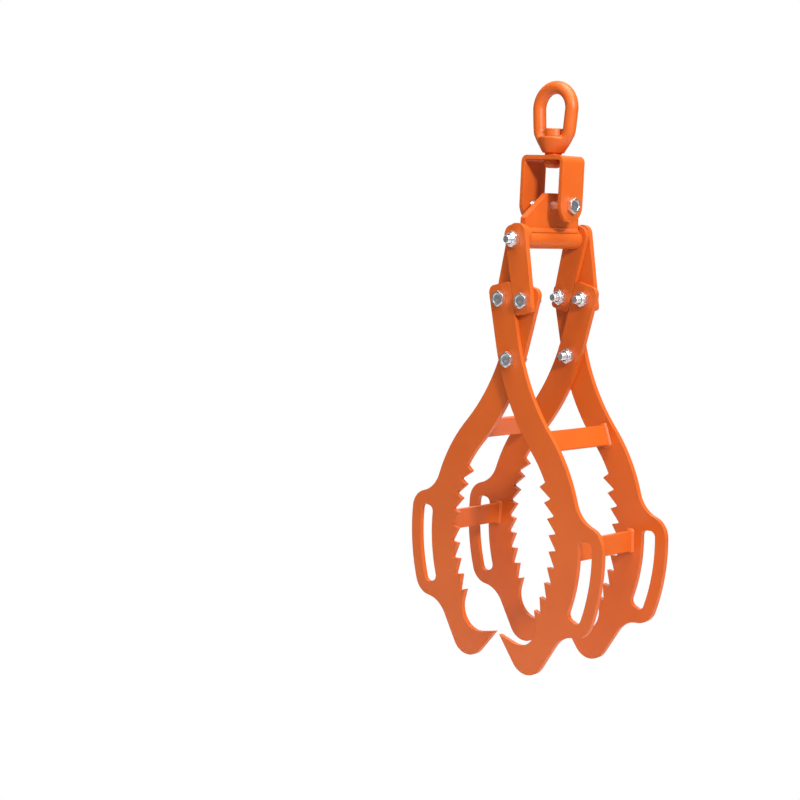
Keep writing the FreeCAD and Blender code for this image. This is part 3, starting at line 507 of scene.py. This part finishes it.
def paired_fasteners(label, body, length, thread):
    """Front and back bolts with heads outside and lock nuts inside."""
    low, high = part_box(label + "_bolts")
    x = (low.x + high.x) / 2
    z = (low.z + high.z) / 2
    head = high.y - HEAD_HEIGHT
    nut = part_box(label + "_nuts")[1].y
    bolts = [along((x, side * head, z), (0, side, 0)) for side in (-1, 1)]
    nuts = [along((x, side * nut, z), (0, -side, 0)) for side in (-1, 1)]
    make_piece(label + "_threaded", lambda m: draw_bolt(m, length, thread), bolts,
               ZINC, body, [label + "_bolts"])
    make_piece(label + "_lock_nuts", draw_nut, nuts,
               ZINC, body, [label + "_nuts"])
    make_piece(label + "_nylon_rings", draw_insert, nuts,
               NYLON, body, [label + "_nut_inserts"])


single_fastener("clevis", "clevis", axis=0, length=0.080, thread=0.026)
single_fastener("top_pivot", "hanger", axis=1, length=0.140, thread=0.028)
paired_fasteners("link_left", "left_links", length=0.030, thread=0.024)
paired_fasteners("link_right", "right_links", length=0.030, thread=0.024)
paired_fasteners("main_pivot", "right_claws", length=0.030, thread=0.024)


# Forged eye: the CAD's shape, with its boss and legs run together into one bowl, as a forging has them.

def forge_eye():
    source = frame["nodes"]["swivel_eye"]
    piece = bpy.data.objects.new("forged_eye", source.data.copy())
    bpy.context.scene.collection.objects.link(piece)
    remesh = piece.modifiers.new("remesh", "REMESH")
    remesh.mode = "VOXEL"
    remesh.voxel_size = EYE_MESH_SIZE
    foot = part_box("swivel_eye")[0].z
    seat = foot + BOSS_HEIGHT
    graph = bpy.context.evaluated_depsgraph_get()
    even = bpy.data.meshes.new_from_object(piece.evaluated_get(graph))
    piece.modifiers.clear()
    mesh = bmesh.new()
    mesh.from_mesh(even)
    for vertex in mesh.verts:
        swell_to_bowl(vertex.co, foot)
    for sweep in range(SHOULDER_SWEEPS):
        share = sweep / SHOULDER_SWEEPS
        soften(mesh, [v for v in mesh.verts if in_shoulder(v.co, seat, share)])
    for sweep in range(WHOLE_EYE_SWEEPS):
        soften(mesh, mesh.verts)
    for vertex in mesh.verts:
        clear_of_pin(vertex.co, seat)
    mesh.to_mesh(piece.data)
    mesh.free()
    for face in piece.data.polygons:
        face.use_smooth = True
    piece.data.materials.clear()
    piece.data.materials.append(FORGED_PAINT)
    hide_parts("swivel_eye")
    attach(piece, "eye")


def soften(mesh, vertices):
    bmesh.ops.smooth_vert(mesh, verts=vertices, factor=SOFTENING_FACTOR,
                          use_axis_x=True, use_axis_y=True, use_axis_z=True)


def swell_to_bowl(spot, foot):
    """Moves a point on the outside of the boss to the bowl's oval cone."""
    out = math.hypot(spot.x, spot.y)
    height = (spot.z - foot) / BOSS_HEIGHT
    if out < BOWL_FOOT[1] - BOSS_SKIN or height > BOWL_HEIGHT_SHARE:
        return
    height = max(height, 0)
    swell = 1 - (1 - height) ** BOWL_FULLNESS
    oval = FOOT_OVAL + (BOWL_OVAL - FOOT_OVAL) * swell
    across = BOWL_FOOT[0] + (BOWL_TOP[0] - BOWL_FOOT[0]) * swell
    deep = BOWL_FOOT[1] + (BOWL_TOP[1] - BOWL_FOOT[1]) * swell
    reach = (abs(spot.x / out / across) ** oval + abs(spot.y / out / deep) ** oval) ** (-1 / oval)
    above = max(0, height - 1 + LIP_SHARE) / LIP_SHARE
    reach -= BOWL_LIP * above ** 2 * (spot.y / out) ** 2
    spot.x *= reach / out
    spot.y *= reach / out


def in_shoulder(spot, seat, share):
    """Whether a point is where a leg comes out of the bowl. The zone shrinks with the share."""
    beside = abs(spot.x) > SHOULDER_SIDE + SHOULDER_SIDE_SHRINK * share
    outside_head = math.hypot(spot.x, spot.y) > PIN_HEAD_RADIUS + SHOULDER_HEAD_GAP
    low = seat - BOSS_HEIGHT + SHOULDER_FOOT + SHOULDER_FOOT_SHRINK * share
    high = seat + SHOULDER_TOP - SHOULDER_TOP_SHRINK * share
    level = low < spot.z < high
    return beside and outside_head and level


def clear_of_pin(spot, seat):
    """Moves a point out of the way of the pin's shank and head, and flattens the seat of the head."""
    out = math.hypot(spot.x, spot.y)
    least = 0
    if spot.z < seat - SEAT_BAND:
        least = PIN_SHANK_RADIUS + SHANK_CLEARANCE
    elif spot.z < seat + SEAT_BAND:
        if out < PIN_HEAD_RADIUS + HEAD_CLEARANCE:
            spot.z = min(spot.z, seat)
        if out > PIN_HEAD_RADIUS - SEAT_BAND:
            least = PIN_HEAD_RADIUS + HEAD_CLEARANCE
    elif spot.z < seat + PIN_HEAD_HEIGHT + SEAT_BAND:
        least = PIN_HEAD_RADIUS + HEAD_CLEARANCE
    if 0 < out < least:
        spot.x *= least / out
        spot.y *= least / out


forge_eye()


# Weld beads, swept along the corner between two faces.

def draw_bead(mesh, stations, leg, closed):
    """Rippled bead. A station has a spot in the corner, a way along each face, a distance and a size."""
    rings = []
    for spot, first, second, distance, size in stations:
        row = [mesh.verts.new(spot)]
        for i in range(BEAD_POINTS):
            t = i / (BEAD_POINTS - 1)
            top = math.sin(math.pi * t)
            phase = distance / RIPPLE_PITCH - RIPPLE_CURVE * top
            ripple = abs(math.sin(math.pi * phase)) - RIPPLE_MIDDLE
            spread = RIPPLE_AT_TOES + (1 - RIPPLE_AT_TOES) * top
            reach = leg * size * (1 - BEAD_FLATTENING * top + RIPPLE_HEIGHT * ripple * spread)
            way = (first * (1 - t) + second * t).normalized()
            row.append(mesh.verts.new(spot + way * reach))
        rings.append(row)
    if closed:
        rings.append(rings[0])
    else:
        cap(mesh, rings[0], top=False)
        cap(mesh, rings[-1])
    skin(mesh, rings)


def bar_stations():
    """Round the section of a crossbar whose end sits on a claw at y = 0, with the bar towards +Y."""
    inward = Vector((0, 1, 0))
    stations = []
    distance = 0
    for quarter in range(4):
        across = (BAR_HALF_THICKNESS, BAR_HALF_WIDTH)[quarter % 2] - BAR_ROUND
        length = (BAR_HALF_WIDTH, BAR_HALF_THICKNESS)[quarter % 2] - BAR_ROUND
        out = Vector((math.cos(quarter * math.pi / 2), 0, math.sin(quarter * math.pi / 2)))
        run = Vector((-out.z, 0, out.x))
        count = int(2 * length / BAR_STEP)
        for i in range(count):
            spot = out * (across + BAR_ROUND) + run * (i / count * 2 - 1) * length
            stations.append((spot, out, inward, distance, 1.0))
            distance += 2 * length / count
        for i in range(CORNER_STEPS):
            turn = i / CORNER_STEPS * math.pi / 2
            normal = out * math.cos(turn) + run * math.sin(turn)
            spot = out * across + run * length + normal * BAR_ROUND
            stations.append((spot, normal, inward, distance, 1.0))
            distance += BAR_ROUND * math.pi / (2 * CORNER_STEPS) + BAR_STEP / 2
    return stations


def bar_tilt(node):
    """Turn of a crossbar's section about Y, from the spread of its corners."""
    low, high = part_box(node)
    middle = (low + high) / 2
    xx = zz = xz = 0
    for vertex in frame["nodes"][node].data.vertices:
        x = vertex.co.x - middle.x
        z = vertex.co.z - middle.z
        xx += x * x
        zz += z * z
        xz += x * z
    return 0.5 * math.atan2(2 * xz, zz - xx)


def crossbar_beads(side):
    """A bead round both ends of the upper and the lower crossbar of one side."""
    node = "crossbar_welds_" + side
    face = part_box(node)[1].y
    places = []
    for level in ("upper", "lower"):
        bar = "crossbar_%s_%s" % (level, side)
        low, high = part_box(bar)
        middle = (low + high) / 2
        tilt = Matrix.Rotation(bar_tilt(bar), 4, "Y")
        for end in (-1, 1):
            turn = Matrix.Rotation(math.pi if end > 0 else 0, 4, "Z")
            places.append(Matrix.Translation((middle.x, end * face, middle.z)) @ tilt @ turn)
    stations = bar_stations()
    make_piece("bar_weld_beads_" + side, lambda m: draw_bead(m, stations, BEAD_LEG, True), places,
               WELD_PAINT, side + "_claws", [node])


def hanger_beads():
    """A fillet on each side of the hanger plate, along the tube."""
    tube_low, tube_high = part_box("hanger_tube")
    radius = (tube_high.x - tube_low.x) / 2
    centre = (tube_low.z + tube_high.z) / 2
    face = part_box("hanger_plate")[1].x
    low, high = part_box("hanger_welds")
    angle = math.acos(face / radius)
    spot_z = centre + radius * math.sin(angle)
    down = Vector((math.sin(angle), 0, -math.cos(angle)))
    up = Vector((0, 0, 1))
    count = int((high.y - low.y) / FILLET_STEP)
    stations = []
    for i in range(count + 1):
        distance = (high.y - low.y) * i / count
        ends = min(distance, high.y - low.y - distance)
        size = math.sqrt(min(1.0, FILLET_END_SHARE + ends / FILLET_END_LENGTH))
        stations.append((Vector((face, low.y + distance, spot_z)), down, up, distance, size))
    places = [Matrix.Identity(4), Matrix.Rotation(math.pi, 4, "Z")]
    make_piece("hanger_fillets", lambda m: draw_bead(m, stations, FILLET_LEG, False), places,
               WELD_PAINT, "hanger", ["hanger_welds"])


hanger_beads()
crossbar_beads("left")
crossbar_beads("right")


# Floor, backdrop and light.

def white_to_camera(nodes, links, lit, white, output):
    """Sends plain white to the camera and the lit look to every other ray."""
    path = nodes.new("ShaderNodeLightPath")
    mix = nodes.new("ShaderNodeMixShader")
    links.new(path.outputs["Is Camera Ray"], mix.inputs["Fac"])
    links.new(lit, mix.inputs[1])
    links.new(white, mix.inputs[2])
    links.new(mix.outputs["Shader"], output.inputs["Surface"])


def white_stage(name, level, size):
    """Floor that looks pure white to the camera and pale to everything else."""
    data = bpy.data.meshes.new(name)
    half = size / 2
    corners = [(-half, -half, level), (half, -half, level), (half, half, level), (-half, half, level)]
    data.from_pydata(corners, [], [(0, 1, 2, 3)])
    obj = bpy.data.objects.new(name, data)
    bpy.context.scene.collection.objects.link(obj)
    material, nodes, links, shader = new_material(name)
    shader.inputs["Base Color"].default_value = (FLOOR_GREY, FLOOR_GREY, FLOOR_GREY, 1)
    shader.inputs["Roughness"].default_value = FLOOR_ROUGHNESS
    glow = nodes.new("ShaderNodeEmission")
    glow.inputs["Color"].default_value = WHITE
    white_to_camera(nodes, links, shader.outputs["BSDF"], glow.outputs["Emission"],
                    nodes["Material Output"])
    data.materials.append(material)


def white_world(level):
    """World that is pure white to the camera and gives soft light at a level."""
    world = bpy.data.worlds.new("studio")
    bpy.context.scene.world = world
    world.use_nodes = True
    nodes = world.node_tree.nodes
    soft = nodes["Background"]
    soft.inputs["Color"].default_value = WHITE
    soft.inputs["Strength"].default_value = level
    white = nodes.new("ShaderNodeBackground")
    white.inputs["Strength"].default_value = 1.0
    white.inputs["Color"].default_value = WHITE
    white_to_camera(nodes, world.node_tree.links, soft.outputs["Background"],
                    white.outputs["Background"], nodes["World Output"])


def direction(azimuth, elevation):
    """From the object towards a place round it: 0 is the front, 90 is the right-hand side."""
    a = math.radians(azimuth)
    e = math.radians(elevation)
    return Vector((math.sin(a) * math.cos(e), -math.cos(a) * math.cos(e), math.sin(e)))


def area_light(name, azimuth, elevation, distance, size, power):
    data = bpy.data.lights.new(name, "AREA")
    data.shape = "SQUARE"
    data.size = size
    data.energy = power
    light = bpy.data.objects.new(name, data)
    bpy.context.scene.collection.objects.link(light)
    back = direction(azimuth, elevation)
    light.location = OBJECT_CENTRE + back * distance
    light.rotation_euler = back.to_track_quat("Z", "Y").to_euler()
    light.visible_camera = False


white_stage("floor", cad_low.z - FLOOR_DROP, FLOOR_SIZE)
white_world(WORLD_LEVEL)
area_light("key", azimuth=67, elevation=29, distance=2.2, size=0.25, power=43)
area_light("top", azimuth=60, elevation=80, distance=1.8, size=1.4, power=50)
area_light("front_fill", azimuth=15, elevation=48, distance=2.0, size=1.6, power=9)
area_light("backdrop_glow", azimuth=221, elevation=18, distance=2.4, size=2.4, power=26)


# Camera.

def place_camera():
    """Camera that sees the object as the photograph's right-hand view does."""
    data = bpy.data.cameras.new("camera")
    data.sensor_width = SENSOR_WIDTH
    data.lens = FOCAL_PIXELS / FRAME_SIZE * data.sensor_width
    data.clip_start = CLIP_START
    camera = bpy.data.objects.new("camera", data)
    bpy.context.scene.collection.objects.link(camera)
    back = direction(VIEW_AZIMUTH, VIEW_ELEVATION)
    facing = back.to_track_quat("Z", "Y").to_matrix()
    middle = FRAME_SIZE / 2
    sight = Vector((CENTRE_PIXEL[0] - middle, middle - CENTRE_PIXEL[1], -FOCAL_PIXELS))
    aim = Vector((0, 0, -1)).rotation_difference(sight).to_matrix()
    roll = Matrix.Rotation(math.radians(VIEW_ROLL), 3, "Z")
    turn = facing @ (aim @ roll).inverted()
    camera.matrix_world = Matrix.Translation(OBJECT_CENTRE + back * VIEW_DISTANCE) @ turn.to_4x4()
    bpy.context.scene.camera = camera


place_camera()
bpy.context.scene.view_settings.view_transform = "Standard"
